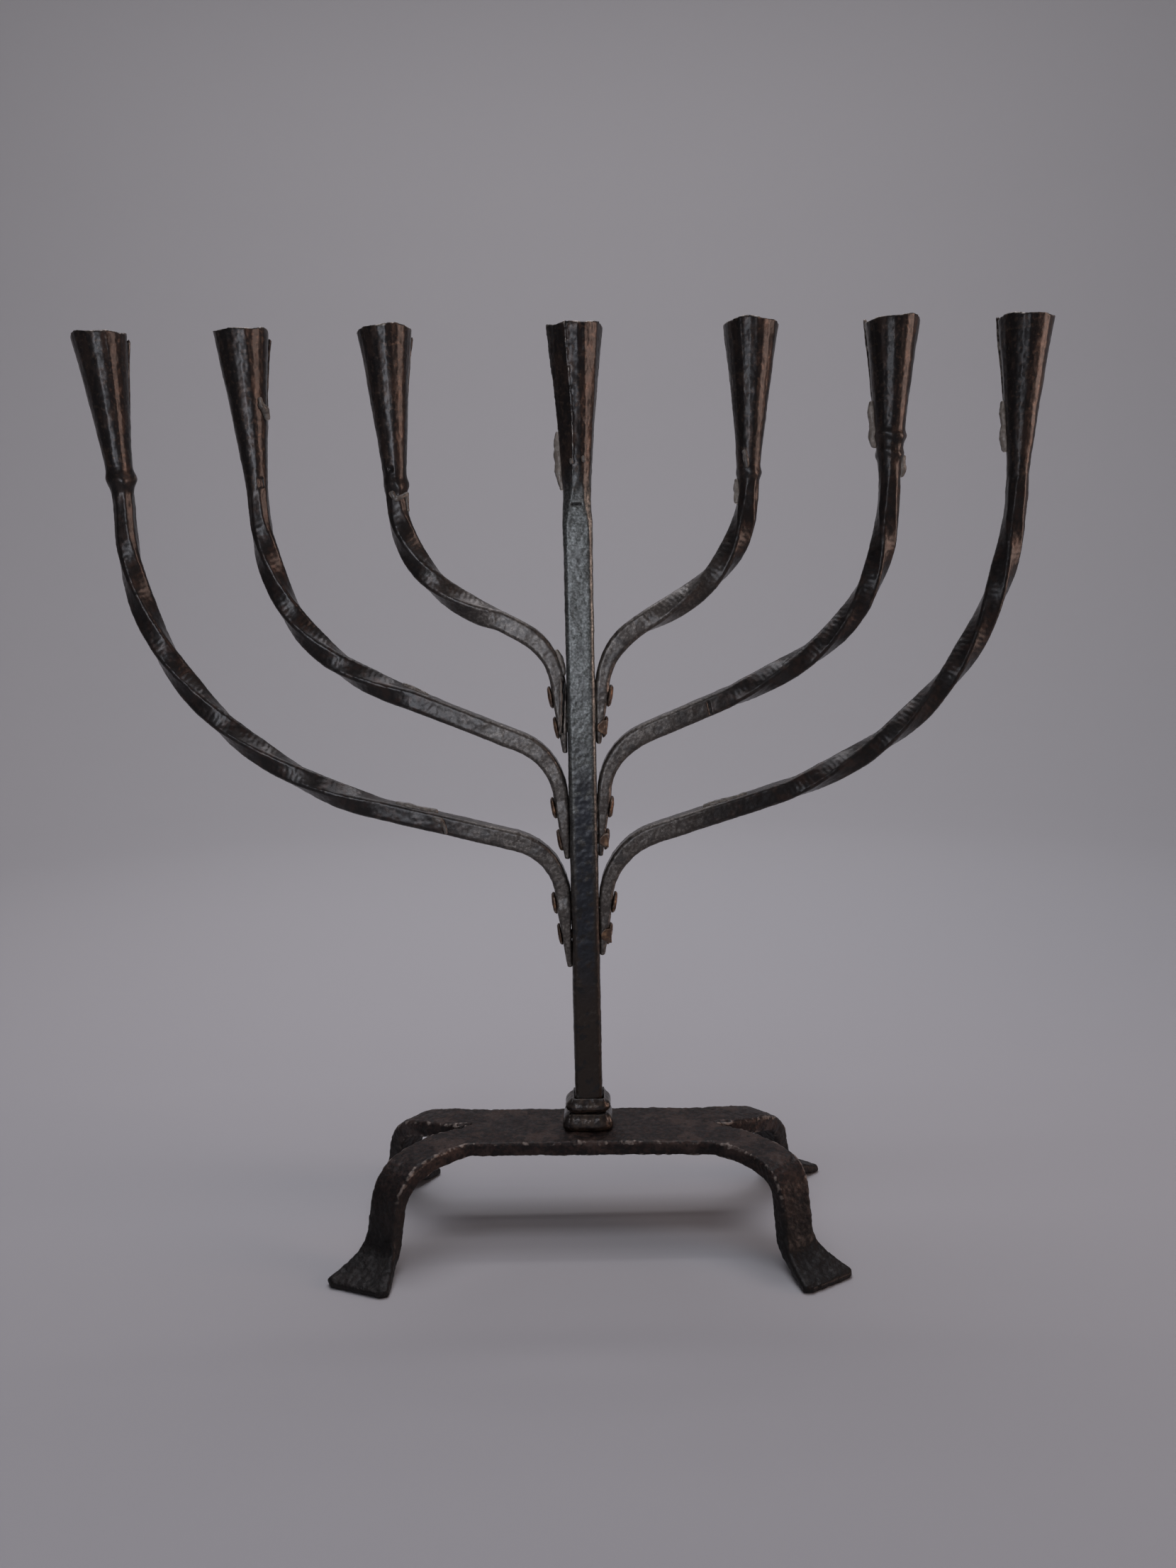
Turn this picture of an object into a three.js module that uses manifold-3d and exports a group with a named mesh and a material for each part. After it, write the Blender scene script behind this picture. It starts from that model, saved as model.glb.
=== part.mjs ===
// A hand-forged seven-branched candle holder: a square stem and six twisted arms of bar,
// riveted together in three pairs, on a flat bar whose slit ends are bent down into four legs.
// Millimetres, +Z up, the broad view along +Y. The stem's axis is x = 0, y = 0 while the
// pieces are made; the last lines move the whole so that the origin is under its middle.
import * as THREE from "three";
import { mergeVertices } from "three/addons/utils/BufferGeometryUtils.js";
import Module from "manifold-3d";

const wasm = await Module();
wasm.setup();

// ---------------------------------------------------------------- driving dimensions
const clearance = 0.3; // left between every two pieces that touch

// Base: a flat bar laid across, slit lengthwise at both ends.
const baseBar = { width: 52, thickness: 9, top: 60.4, edge: 1.3 };
const slit = { left: 79, right: 82 }; // where each slit ends, measured out from the stem
const barEndRise = { left: 0.8, right: -1.2 }; // how far the bar's ends stand off level
const legBar = { width: 21, thickness: 10.2 }; // each half of the bar once it is drawn down
const foot = { ankle: 25, thickness: 5, sunk: 0.7, tipRound: 7 };

// Stem: one square bar, with a tenon through the base and a socket rolled at its top.
const stemBar = { side: 16.8, edge: 1.7 };
const tenon = { radius: 5.4, headRadius: 8.8, headHeight: 3.2 };
const neckHeight = 446; // where every socket begins, above the table

// Two forged rings seated round the stem's foot.
const lowerCollar = { halfX: 16, halfY: 13.4, height: 11, round: 5, bevel: 2.6, shift: -0.7 };
const upperCollar = { halfX: 15, halfY: 12.8, height: 9, round: 6, bevel: 3.4, shift: -0.5 };

// Arms: square bar, flattened to a leaf where it is riveted to the stem.
const armBar = { side: 11.7, edge: 1.3 };
const armNeck = 11.4; // across the waist under an arm's socket
const tailTip = { thickness: 2.7, breadth: 7, edge: 0.9 };
const socket = { length: 95.5, rimRadius: 15.8, wall: 1.9, depth: 66, bottomRadius: 2.2 };
const socketFloorWall = 1.6; // how many times thicker the wall is at the hollow's floor
const seam = { lap: 0.08, mouth: 3.2, foot: 0.7, depth: 52 };

// Rivets: each goes through a left arm, the stem and a right arm.
const rivet = { radius: 3, headRadius: 6.6, headHeight: 2.5 };
const tab = { height: 8.6, thickness: 1.5 }; // the lip turned over a narrow tail's edge

// Each tier's rivets, then its arms: the height where the crook leaves the stem, the crook's
// radius, the slope and length of the straight run, the two pulls of the sweep up to the neck,
// how far the bar leans out as it reaches the neck, the neck's reach from the stem, the lean of
// the socket, quarter turns of twist, and the leaf that lies against the stem.
const tiers = [
  {
    name: "low",
    rivets: [203.4, 183.8],
    left: {
      crook: 207, radius: 37, slope: 14.3, run: 77, pull: 66, rise: 110, arrive: -2.6, reach: 264.6,
      lean: 4.5, quarterTurns: 4, tail: { tip: 164, root: 9.2, breadth: 14.5 },
    },
    right: {
      crook: 204, radius: 44, slope: 17.1, run: 75, pull: 78, rise: 98, arrive: 1.8, reach: 257.4,
      lean: 1.2, quarterTurns: 4, tail: { tip: 171, root: 8.2, breadth: 10.6 },
    },
  },
  {
    name: "middle",
    rivets: [262.4, 242.6],
    left: {
      crook: 267, radius: 39, slope: 22.5, run: 65, pull: 43, rise: 82, arrive: 2.3, reach: 186.2,
      lean: 2.6, quarterTurns: 3, tail: { tip: 231.5, root: 8.8, breadth: 14 },
    },
    right: {
      crook: 269, radius: 41, slope: 22.2, run: 48, pull: 58, rise: 78, arrive: 1, reach: 182.5,
      lean: 0, quarterTurns: 3, tail: { tip: 232.8, root: 8, breadth: 10.8 },
    },
  },
  {
    name: "high",
    rivets: [329.4, 311],
    left: {
      crook: 333, radius: 40, slope: 28.3, run: 13, pull: 5, rise: 54, arrive: 2.9, reach: 105.5,
      lean: 1.8, quarterTurns: 2, tail: { tip: 296, root: 9, breadth: 14 },
    },
    right: {
      crook: 333, radius: 42, slope: 36, run: 7, pull: 11, rise: 54, arrive: 3.9, reach: 100.2,
      lean: 0.8, quarterTurns: 2, tail: { tip: 301, root: 8, breadth: 11 },
    },
  },
];

// ---------------------------------------------------------------- vectors and small sums
const across = new THREE.Vector3(1, 0, 0);
const deep = new THREE.Vector3(0, 1, 0);
const up = new THREE.Vector3(0, 0, 1);
const radians = THREE.MathUtils.degToRad;
const mix = THREE.MathUtils.lerp;

function ease(value) {
  return THREE.MathUtils.smoothstep(value, 0, 1);
}

// ---------------------------------------------------------------- sections and lofts
// A section is a closed outline of [a, b] pairs, counter-clockwise seen from its far end.

// A forged bar: a rectangle with a narrow flat hammered along each of its four edges.
function barSection(halfA, halfB, flat) {
  return [
    [halfA, flat - halfB], [halfA, halfB - flat],
    [halfA - flat, halfB], [flat - halfA, halfB],
    [-halfA, halfB - flat], [-halfA, flat - halfB],
    [flat - halfA, -halfB], [halfA - flat, -halfB],
  ];
}

// A ring of points whose radius may change with the angle. Point 0 stands where a bar
// section's does, so that bars run into rounds without a wrench.
function roundSection(count, radiusAt, turned = 0) {
  return Array.from({ length: count }, (_, i) => {
    const angle = -Math.PI / 8 + (i * 2 * Math.PI) / count;
    const radius = radiusAt(angle + turned);
    return [radius * Math.cos(angle), radius * Math.sin(angle)];
  });
}

// Places a section in space on its axes a and b, turned by an angle from a towards b.
function place(section, centre, a, b, turned = 0) {
  const cos = Math.cos(turned);
  const sin = Math.sin(turned);
  return section.map(([p, q]) => centre.clone()
    .addScaledVector(a, p * cos - q * sin)
    .addScaledVector(b, p * sin + q * cos));
}

// Skins a row of placed rings into one closed solid. A ring may have a whole multiple of the
// points of the ring before it: each point then fans out to that many.
function loft(rings) {
  const points = rings.flat();
  const triangles = [];
  let start = 0;
  for (let i = 0; i + 1 < rings.length; i += 1) {
    const count = rings[i].length;
    const next = start + count;
    const nextCount = rings[i + 1].length;
    const fan = nextCount / count;
    for (let j = 0; j < count; j += 1) {
      const here = start + j;
      const beside = start + ((j + 1) % count);
      for (let k = 0; k < fan; k += 1) {
        const above = next + j * fan + k;
        const aboveBeside = next + ((j * fan + k + 1) % nextCount);
        triangles.push(here, aboveBeside, above);
      }
      triangles.push(here, beside, next + (((j + 1) * fan) % nextCount));
    }
    start = next;
  }
  capRing(points, triangles, rings[0], 0, false);
  capRing(points, triangles, rings[rings.length - 1], start, true);
  const geometry = new THREE.BufferGeometry().setFromPoints(points);
  geometry.setIndex(triangles);
  return solid(geometry);
}

function capRing(points, triangles, ring, start, isEnd) {
  const centre = ring.reduce((sum, point) => sum.add(point), new THREE.Vector3());
  points.push(centre.divideScalar(ring.length));
  const middle = points.length - 1;
  for (let j = 0; j < ring.length; j += 1) {
    const here = start + j;
    const beside = start + ((j + 1) % ring.length);
    triangles.push(middle, ...(isEnd ? [here, beside] : [beside, here]));
  }
}

// ---------------------------------------------------------------- solids to join and cut
function solid(geometry) {
  const bare = geometry.clone();
  bare.deleteAttribute("normal");
  bare.deleteAttribute("uv");
  const merged = mergeVertices(bare, 1e-4);
  return new wasm.Manifold(new wasm.Mesh({
    numProp: 3,
    vertProperties: new Float32Array(merged.attributes.position.array),
    triVerts: new Uint32Array(merged.index.array),
  }));
}

function toGeometry(manifold) {
  const mesh = manifold.getMesh();
  const geometry = new THREE.BufferGeometry();
  geometry.setAttribute("position", new THREE.BufferAttribute(mesh.vertProperties, 3));
  geometry.setIndex(new THREE.BufferAttribute(mesh.triVerts, 1));
  geometry.computeVertexNormals();
  return geometry;
}

function rod(radius, from, to, sides = 16) {
  const length = from.distanceTo(to);
  const geometry = new THREE.CylinderGeometry(radius, radius, length, sides);
  const turn = new THREE.Quaternion().setFromUnitVectors(deep, to.clone().sub(from).normalize());
  geometry.applyQuaternion(turn);
  geometry.translate(...from.clone().add(to).multiplyScalar(0.5).toArray());
  return solid(geometry);
}

// ---------------------------------------------------------------- sockets
// A socket is rolled from the bar's flattened end: a lapped cone, open at the top and along
// the upper part of its seam. Angles run from the right-hand side towards the back.

// How high the ragged rim stands at an angle: it dips beside the seam's outer edge.
function rimHeight(angle, shape) {
  const fromSeam = THREE.MathUtils.euclideanModulo(angle - shape.seamAngle, 2 * Math.PI);
  const dip = Math.exp(-fromSeam / 0.5);
  const spike = Math.exp(-(2 * Math.PI - fromSeam) / 0.35);
  const wave = 0.7 * Math.sin(2 * angle + shape.phase)
    + 0.5 * Math.sin(5 * angle + 2 * shape.phase);
  return wave - shape.dip * dip + shape.spike * spike;
}

// The outer skin's radius: a spiral, widest at the outer edge of the lap. The lap's sense is
// -1 where the sheet behind the seam lies outside the one before it. The cone's sides hollow a
// little towards the neck.
const flare = 1.25;

function coneRadius(angle, share, shape) {
  const fromSeam = THREE.MathUtils.euclideanModulo(angle - shape.seamAngle, 2 * Math.PI);
  const spiral = 1 + shape.lapSense * seam.lap * share * (fromSeam / (2 * Math.PI) - 0.5);
  const plain = mix(shape.neckRadius, socket.rimRadius, share ** flare);
  return plain * spiral;
}

function socketPoints(shape, share, shrink, count, turned) {
  const radiusAt = (angle) => (
    Math.max(coneRadius(angle, share, shape) - shrink, socket.bottomRadius));
  const centre = shape.foot.clone().addScaledVector(shape.axis, share * socket.length);
  return place(roundSection(count, radiusAt, turned), centre, shape.a, shape.b, turned);
}

// The outside of the cone, ring by ring from the neck to the ragged rim.
function socketSkin(shape, turned) {
  const sides = 24;
  const rings = [0.08, 0.2, 0.35, 0.52, 0.7, 0.86].map((share) => (
    socketPoints(shape, share, 0, sides, turned)));
  const rim = socketPoints(shape, 1, 0, sides, turned);
  rim.forEach((point, i) => {
    const angle = -Math.PI / 8 + (i * 2 * Math.PI) / sides + turned;
    point.addScaledVector(shape.axis, rimHeight(angle, shape));
  });
  return [...rings, rim];
}

// What is taken out of the cone: its hollow, and the wedge of the open seam.
const beyondRim = 8; // how far the cutting shapes stand out of the rim

function socketHollow(shape) {
  const floor = 1 - socket.depth / socket.length;
  const shares = [floor, mix(floor, 1, 0.5), 1 + beyondRim / socket.length];
  const wallAt = (share) => (
    socket.wall * mix(socketFloorWall, 1, Math.min(1, (share - floor) / (1 - floor))));
  return loft(shares.map((share) => socketPoints(shape, share, wallAt(share), 16, 0)));
}

function seamWedge(shape) {
  const outward = shape.a.clone().multiplyScalar(Math.cos(shape.seamAngle))
    .addScaledVector(shape.b, Math.sin(shape.seamAngle));
  const along = shape.axis.clone().cross(outward);
  const ringAt = (height, width) => {
    const reach = socket.rimRadius / 2;
    const centre = shape.foot.clone().addScaledVector(shape.axis, height)
      .addScaledVector(outward, reach + 3);
    const half = width / 2;
    const outline = [[reach, -half], [reach, half], [-reach, half], [-reach, -half]];
    return place(outline, centre, outward, along);
  };
  return loft([
    ringAt(socket.length - seam.depth, seam.foot),
    ringAt(socket.length + beyondRim, seam.mouth),
  ]);
}

// ---------------------------------------------------------------- arms
const stemHalf = stemBar.side / 2;
const armHalf = armBar.side / 2;

// The leaf's thickness and breadth at a height between its tip and the crook. It is broadest
// half way and has run back to the bar's own width at the crook.
function tailSection(arm, height) {
  const share = (height - arm.tail.tip) / (arm.crook - arm.tail.tip);
  const shoulder = 0.8;
  const leaf = Math.sin(Math.PI * Math.min(1, 0.18 + share * 0.62));
  const breadth = share < shoulder
    ? mix(tailTip.breadth, arm.tail.breadth, leaf)
    : mix(arm.tail.breadth, armBar.side, (share - shoulder) / (1 - shoulder));
  return { thickness: mix(tailTip.thickness, arm.tail.root, share), breadth };
}

// The arm's middle line in the plane of the branches, from the crook's foot to the neck, as
// points with their directions. Built for a right arm: side mirrors it.
function armLine(arm, side) {
  const slope = radians(arm.slope);
  const arrive = radians(arm.arrive);
  const footX = stemHalf + clearance + arm.tail.root / 2;
  const crook = new THREE.EllipseCurve(
    footX + arm.radius, arm.crook, arm.radius, arm.radius, Math.PI, Math.PI / 2 + slope, true);
  const runStart = crook.getPoint(1);
  const heading = new THREE.Vector2(Math.cos(slope), Math.sin(slope));
  const runEnd = runStart.clone().addScaledVector(heading, arm.run);
  const neck = new THREE.Vector2(arm.reach, neckHeight);
  const sweep = new THREE.CubicBezierCurve(
    runEnd,
    runEnd.clone().addScaledVector(heading, arm.pull),
    new THREE.Vector2(Math.sin(arrive), Math.cos(arrive)).multiplyScalar(-arm.rise).add(neck),
    neck,
  );
  const run = new THREE.LineCurve(runStart, runEnd);
  const stations = [];
  const addCurve = (curve, part, steps) => {
    for (let i = 0; i < steps; i += 1) {
      const share = i / steps;
      const point = curve.getPointAt(share);
      stations.push({ part, share, point, tangent: curve.getTangentAt(share) });
    }
  };
  addCurve(crook, "crook", 8);
  addCurve(run, "run", Math.max(1, Math.round(arm.run / 30)));
  const sweepStep = 3.2; // short enough for the twist to look smooth
  addCurve(sweep, "sweep", Math.round(sweep.getLength() / sweepStep));
  stations.push({ part: "neck", share: 1, point: neck, tangent: sweep.getTangentAt(1) });
  return stations.map(({ part, share, point, tangent }) => ({
    part,
    share,
    centre: new THREE.Vector3(side * point.x, 0, point.y),
    direction: new THREE.Vector3(side * tangent.x, 0, tangent.y).normalize(),
  }));
}

function armSolid(arm, side, phase) {
  const rings = [];
  const tailSteps = 7;
  for (let i = 0; i < tailSteps; i += 1) {
    const height = mix(arm.tail.tip, arm.crook, i / tailSteps);
    const { thickness, breadth } = tailSection(arm, height);
    const centre = new THREE.Vector3(side * (stemHalf + clearance + thickness / 2), 0, height);
    rings.push(place(barSection(thickness / 2, breadth / 2, tailTip.edge), centre, across, deep));
  }
  // The twist is left-handed on every arm, and dies away at both ends of the sweep.
  const fullTwist = -arm.quarterTurns * Math.PI / 2;
  for (const { part, share, centre, direction } of armLine(arm, side)) {
    const normal = deep.clone().cross(direction);
    const grown = part === "crook" ? ease(share) : 1;
    const waist = part === "sweep" ? ease((share - 0.8) * 5) : Number(part === "neck");
    const half = mix(mix(arm.tail.root / 2, armHalf, grown), armNeck / 2, waist);
    const depth = mix(armHalf, armNeck / 2, waist);
    const flat = mix(armBar.edge, armNeck * 0.27, waist); // the waist is nearly round
    const twisted = part === "sweep" ? twistShare(share) : Number(part === "neck");
    rings.push(place(barSection(half, depth, flat), centre, normal, deep, fullTwist * twisted));
  }
  const lean = radians(arm.lean) * side;
  const axis = new THREE.Vector3(Math.sin(lean), 0, Math.cos(lean));
  const shape = {
    foot: new THREE.Vector3(side * arm.reach, 0, neckHeight),
    axis,
    a: deep.clone().cross(axis),
    b: deep,
    neckRadius: armNeck / 2,
    seamAngle: side < 0 ? radians(14) : radians(166), // towards the stem, a little behind
    lapSense: side,
    dip: side < 0 ? 5.5 : 0.8,
    spike: side < 0 ? 0.6 : 2.6,
    phase,
  };
  rings.push(...socketSkin(shape, fullTwist));
  return loft(rings).subtract(socketHollow(shape)).subtract(seamWedge(shape));
}

// Share of the whole twist reached at a share of the sweep: even in between, eased at the ends.
function twistShare(share) {
  const begin = 0.03;
  const end = 0.93;
  const t = THREE.MathUtils.clamp((share - begin) / (end - begin), 0, 1);
  const soft = 0.12;
  return mix(t, ease(t), soft);
}

function shankHoles(tier) {
  const far = stemBar.side * 2;
  return tier.rivets.map((height) => rod(
    rivet.radius + clearance,
    new THREE.Vector3(-far, 0, height),
    new THREE.Vector3(far, 0, height),
  )).reduce((sum, hole) => sum.add(hole));
}

// ---------------------------------------------------------------- rivets
// One end of a rivet: a thin domed disc that lies flat on the tail's sloping back.
function rivetHead(arm, side, height) {
  const { thickness } = tailSection(arm, height);
  const slope = Math.atan2(arm.tail.root - tailTip.thickness, arm.crook - arm.tail.tip);
  const profile = [[0, 0], [1, 0], [1.04, 0.35], [0.86, 0.8], [0, 1]].map(([r, h]) => (
    new THREE.Vector2(r * rivet.headRadius, h * rivet.headHeight)));
  const sides = 14;
  const disc = new THREE.LatheGeometry(profile, sides);
  disc.rotateZ(-Math.PI / 2 * side);
  disc.rotateY(slope * side);
  const clear = clearance / Math.cos(slope);
  disc.translate(side * (stemHalf + clearance + thickness + clear), 0, height);
  return solid(disc);
}

// The lip of a head turned over the front edge of a tail that is narrower than the head.
function rivetTab(arm, side, height) {
  const { thickness, breadth } = tailSection(arm, height);
  const inner = stemHalf + clearance + thickness * 0.12;
  const outer = stemHalf + 2 * clearance + thickness + rivet.headHeight * 0.75;
  const half = tab.height / 2;
  const outline = new THREE.Shape();
  outline.moveTo(outer, -half);
  outline.lineTo(outer, half);
  outline.lineTo(inner + half * 0.7, half);
  outline.quadraticCurveTo(inner, half * 0.6, inner, 0);
  outline.quadraticCurveTo(inner, -half * 0.9, outer, -half);
  const plate = new THREE.ExtrudeGeometry(outline, {
    depth: tab.thickness,
    bevelEnabled: false,
    curveSegments: 4,
  });
  plate.rotateX(Math.PI / 2);
  plate.translate(0, -(breadth / 2 + clearance), height);
  // The fold that joins the lip to the disc.
  const fold = [rivet.headHeight * 0.6, rivet.headRadius * 0.8, tab.height * 0.8];
  const knuckle = new THREE.BoxGeometry(...fold);
  const front = -(breadth / 2 + clearance + tab.thickness);
  knuckle.translate(outer - fold[0] / 2, front + fold[1] / 2, height);
  return solid(plate).add(solid(knuckle));
}

function rivetSolid(tier, height, hasTab) {
  const intoHead = 1; // far enough to join the disc
  const reachOf = (arm) => (
    stemHalf + 2 * clearance + tailSection(arm, height).thickness + intoHead);
  const shank = rod(
    rivet.radius,
    new THREE.Vector3(-reachOf(tier.left), 0, height),
    new THREE.Vector3(reachOf(tier.right), 0, height),
  );
  const headed = shank.add(rivetHead(tier.left, -1, height)).add(rivetHead(tier.right, 1, height));
  return hasTab ? headed.add(rivetTab(tier.right, 1, height)) : headed;
}

// ---------------------------------------------------------------- stem
function stemSolid() {
  const baseUnder = baseBar.top - baseBar.thickness;
  const turnedRound = (radius) => roundSection(8, () => radius);
  const square = (half, flat) => barSection(half, half, flat);
  const level = (section, height) => place(section, new THREE.Vector3(0, 0, height), across, deep);
  const shoulder = baseBar.top + clearance;
  const step = 0.01; // a square shoulder, drawn as a very short slope
  const waist = { swell: 0.3, shrink: 0.3 }; // hammered up a little, then in, under the socket
  const rings = [
    level(turnedRound(tenon.headRadius * 0.55), baseUnder - clearance - tenon.headHeight),
    level(turnedRound(tenon.headRadius), baseUnder - clearance - tenon.headHeight * 0.45),
    level(turnedRound(tenon.headRadius * 0.96), baseUnder - clearance),
    level(turnedRound(tenon.radius), baseUnder - clearance + step),
    level(turnedRound(tenon.radius), shoulder - step),
    level(square(stemHalf, stemBar.edge), shoulder),
    level(square(stemHalf, stemBar.edge), neckHeight - 32),
    level(square(stemHalf + waist.swell, stemBar.edge * 1.3), neckHeight - 16),
    level(square(stemHalf - waist.shrink, stemHalf * 0.45), neckHeight - 4),
  ];
  const shape = {
    foot: new THREE.Vector3(0, 0, neckHeight),
    axis: up,
    a: across,
    b: deep,
    neckRadius: stemHalf - waist.shrink,
    seamAngle: radians(84),
    lapSense: 1,
    dip: 2,
    spike: 1,
    phase: 2.1,
  };
  rings.push(...socketSkin(shape, 0));
  const body = loft(rings).subtract(socketHollow(shape)).subtract(seamWedge(shape));
  return tiers.reduce((sum, tier) => sum.subtract(shankHoles(tier)), body);
}

// ---------------------------------------------------------------- collars
function collarSolid(collar, bottom) {
  const { halfX, halfY, round, height, bevel, shift } = collar;
  const outline = new THREE.Shape();
  outline.moveTo(halfX, -halfY + round);
  outline.absarc(halfX - round, halfY - round, round, 0, Math.PI / 2);
  outline.absarc(-halfX + round, halfY - round, round, Math.PI / 2, Math.PI);
  outline.absarc(-halfX + round, -halfY + round, round, Math.PI, Math.PI * 1.5);
  outline.absarc(halfX - round, -halfY + round, round, Math.PI * 1.5, Math.PI * 2);
  const ring = new THREE.ExtrudeGeometry(outline, {
    depth: height - 2 * bevel,
    bevelThickness: bevel,
    bevelSize: bevel,
    bevelOffset: -bevel,
    bevelSegments: 2,
    curveSegments: 4,
  });
  ring.translate(shift, 0, bottom + bevel);
  const opening = stemBar.side + 2 * clearance;
  const hole = new THREE.BoxGeometry(opening, opening, height + 2);
  hole.translate(0, 0, bottom + height / 2);
  return solid(ring).subtract(solid(hole));
}

// ---------------------------------------------------------------- base
// A leg is walked along in short steps. Each stretch turns it outwards (its heading in plan,
// from straight along the bar towards straight forward) and downwards (its pitch).
const legs = [
  {
    end: -1, front: -1, opening: 27, spread: 36.5, heading: 53, dip: 11, bend: 26, drop: 77,
    toe: 68, fan: 40,
  },
  {
    end: 1, front: -1, opening: 30, spread: 39, heading: 62, dip: 4, bend: 21, drop: 80,
    toe: 59, fan: 36,
  },
  {
    end: -1, front: 1, opening: 9, spread: 30.5, heading: 37, dip: 15, bend: 24, drop: 77,
    toe: 108, fan: 36,
  },
  {
    end: 1, front: 1, opening: 14, spread: 30, heading: 44, dip: 19, bend: 22, drop: 76,
    toe: 52, fan: 36,
  },
];
const slitRoot = 10; // how far inside the slit's end a leg's rings begin
const slitGap = 0.4; // between the two legs of an end, where they part

function walk(state, length, headingTo, pitchTo, sectionTo, steps) {
  const from = { heading: state.heading, pitch: state.pitch, section: state.section };
  const rings = [];
  for (let i = 1; i <= steps; i += 1) {
    const half = (i - 0.5) / steps;
    const heading = radians(mix(from.heading, headingTo, half));
    const pitch = radians(mix(from.pitch, pitchTo, half));
    const step = length / steps;
    state.point.x += step * Math.cos(pitch) * Math.cos(heading);
    state.point.y += step * Math.cos(pitch) * Math.sin(heading);
    state.point.z -= step * Math.sin(pitch);
    const share = i / steps;
    state.heading = mix(from.heading, headingTo, share);
    state.pitch = mix(from.pitch, pitchTo, share);
    state.section = from.section.map((value, k) => mix(value, sectionTo[k], share));
    rings.push({ ...state, point: state.point.clone() });
  }
  return rings;
}

// The height of the bar's middle line at its left (-1) or right (1) slit.
function barMiddle(end) {
  return baseBar.top - baseBar.thickness / 2 + (end < 0 ? barEndRise.left : barEndRise.right);
}

// The rings of a leg in a quarter where the bar runs along +X and the leg heads towards +Y.
function legRings(leg) {
  const quarter = baseBar.width / 4;
  const start = leg.end < 0 ? slit.left : slit.right;
  const full = [(baseBar.width - slitGap) / 2, baseBar.thickness];
  const drawn = [legBar.width, legBar.thickness];
  const halfDrawn = [mix(full[0], drawn[0], 0.4), drawn[1]];
  const path = (shin) => {
    const point = new THREE.Vector3(start - slitRoot, quarter, 0);
    const state = { point, heading: 0, pitch: 0, section: full };
    return {
      rings: [
        { ...state, point: point.clone() },
        ...walk(state, slitRoot + 2, leg.opening, 1, full, 3),
        ...walk(state, leg.spread, leg.heading, leg.dip, halfDrawn, 5),
        ...walk(state, leg.bend, leg.heading, leg.drop, drawn, 6),
        ...walk(state, shin, leg.heading, leg.drop, drawn, 2),
        ...walk(state, 15, leg.toe, 26, [foot.ankle, foot.thickness + 2.4], 4),
        ...walk(state, 21, leg.toe, 9, [leg.fan, foot.thickness], 3),
        ...walk(state, 3, leg.toe, 6, [leg.fan - foot.tipRound, foot.thickness * 0.6], 1),
      ],
      drop: -state.point.z,
    };
  };
  // The shin takes whatever height the bends leave between the bar and the table.
  const middle = barMiddle(leg.end);
  const landing = foot.thickness / 2 - foot.sunk;
  const bare = path(0).drop;
  const shin = (middle - landing - bare) / Math.sin(radians(leg.drop));
  return path(shin).rings;
}

function legSolid(leg) {
  const middle = barMiddle(leg.end);
  const rings = legRings(leg).map(({ point, heading, pitch, section }) => {
    const angle = radians(heading);
    const fall = radians(pitch);
    const centre = new THREE.Vector3(leg.end * point.x, leg.front * point.y, middle + point.z);
    const side = new THREE.Vector3(-leg.end * Math.sin(angle), leg.front * Math.cos(angle), 0);
    const out = new THREE.Vector3(
      leg.end * Math.sin(fall) * Math.cos(angle),
      leg.front * Math.sin(fall) * Math.sin(angle),
      Math.cos(fall),
    );
    const [width, thickness] = section;
    return place(barSection(width / 2, thickness / 2, baseBar.edge), centre, side, out);
  });
  // Mirrored corners turn the rings the other way round.
  const mirrored = leg.end * leg.front < 0;
  return loft(mirrored ? rings.map((ring) => [...ring].reverse()) : rings);
}

function baseSolid() {
  const { width, thickness, top, edge } = baseBar;
  const section = barSection(width / 2, thickness / 2, edge);
  const ringAt = (x, rise) => (
    place(section, new THREE.Vector3(x, 0, top + rise - thickness / 2), deep, up));
  const seat = lowerCollar.halfX + 6; // the middle stays level under the collar
  let body = loft([
    ringAt(-slit.left, barEndRise.left),
    ringAt(-seat, 0),
    ringAt(seat, 0),
    ringAt(slit.right, barEndRise.right),
  ]);
  for (const leg of legs) body = body.add(legSolid(leg));
  // The soles are dressed flat where they meet the table.
  const table = new THREE.BoxGeometry(1000, 1000, 40);
  table.translate(0, 0, -20);
  const hole = rod(
    tenon.radius + clearance,
    new THREE.Vector3(0, 0, top - 2 * thickness),
    new THREE.Vector3(0, 0, top + thickness),
  );
  return body.subtract(solid(table)).subtract(hole);
}

// ---------------------------------------------------------------- finishes and assembly
const finish = {
  scale: new THREE.MeshStandardMaterial({ color: 0x4b4f55, roughness: 0.5, metalness: 0.8 }),
  patina: new THREE.MeshStandardMaterial({ color: 0x3a322b, roughness: 0.62, metalness: 0.7 }),
  rivetSteel: new THREE.MeshStandardMaterial({ color: 0x57493c, roughness: 0.55, metalness: 0.75 }),
};

const menorah = new THREE.Group();

function add(name, manifold, material) {
  const mesh = new THREE.Mesh(toGeometry(manifold), material);
  mesh.name = name;
  menorah.add(mesh);
}

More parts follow.
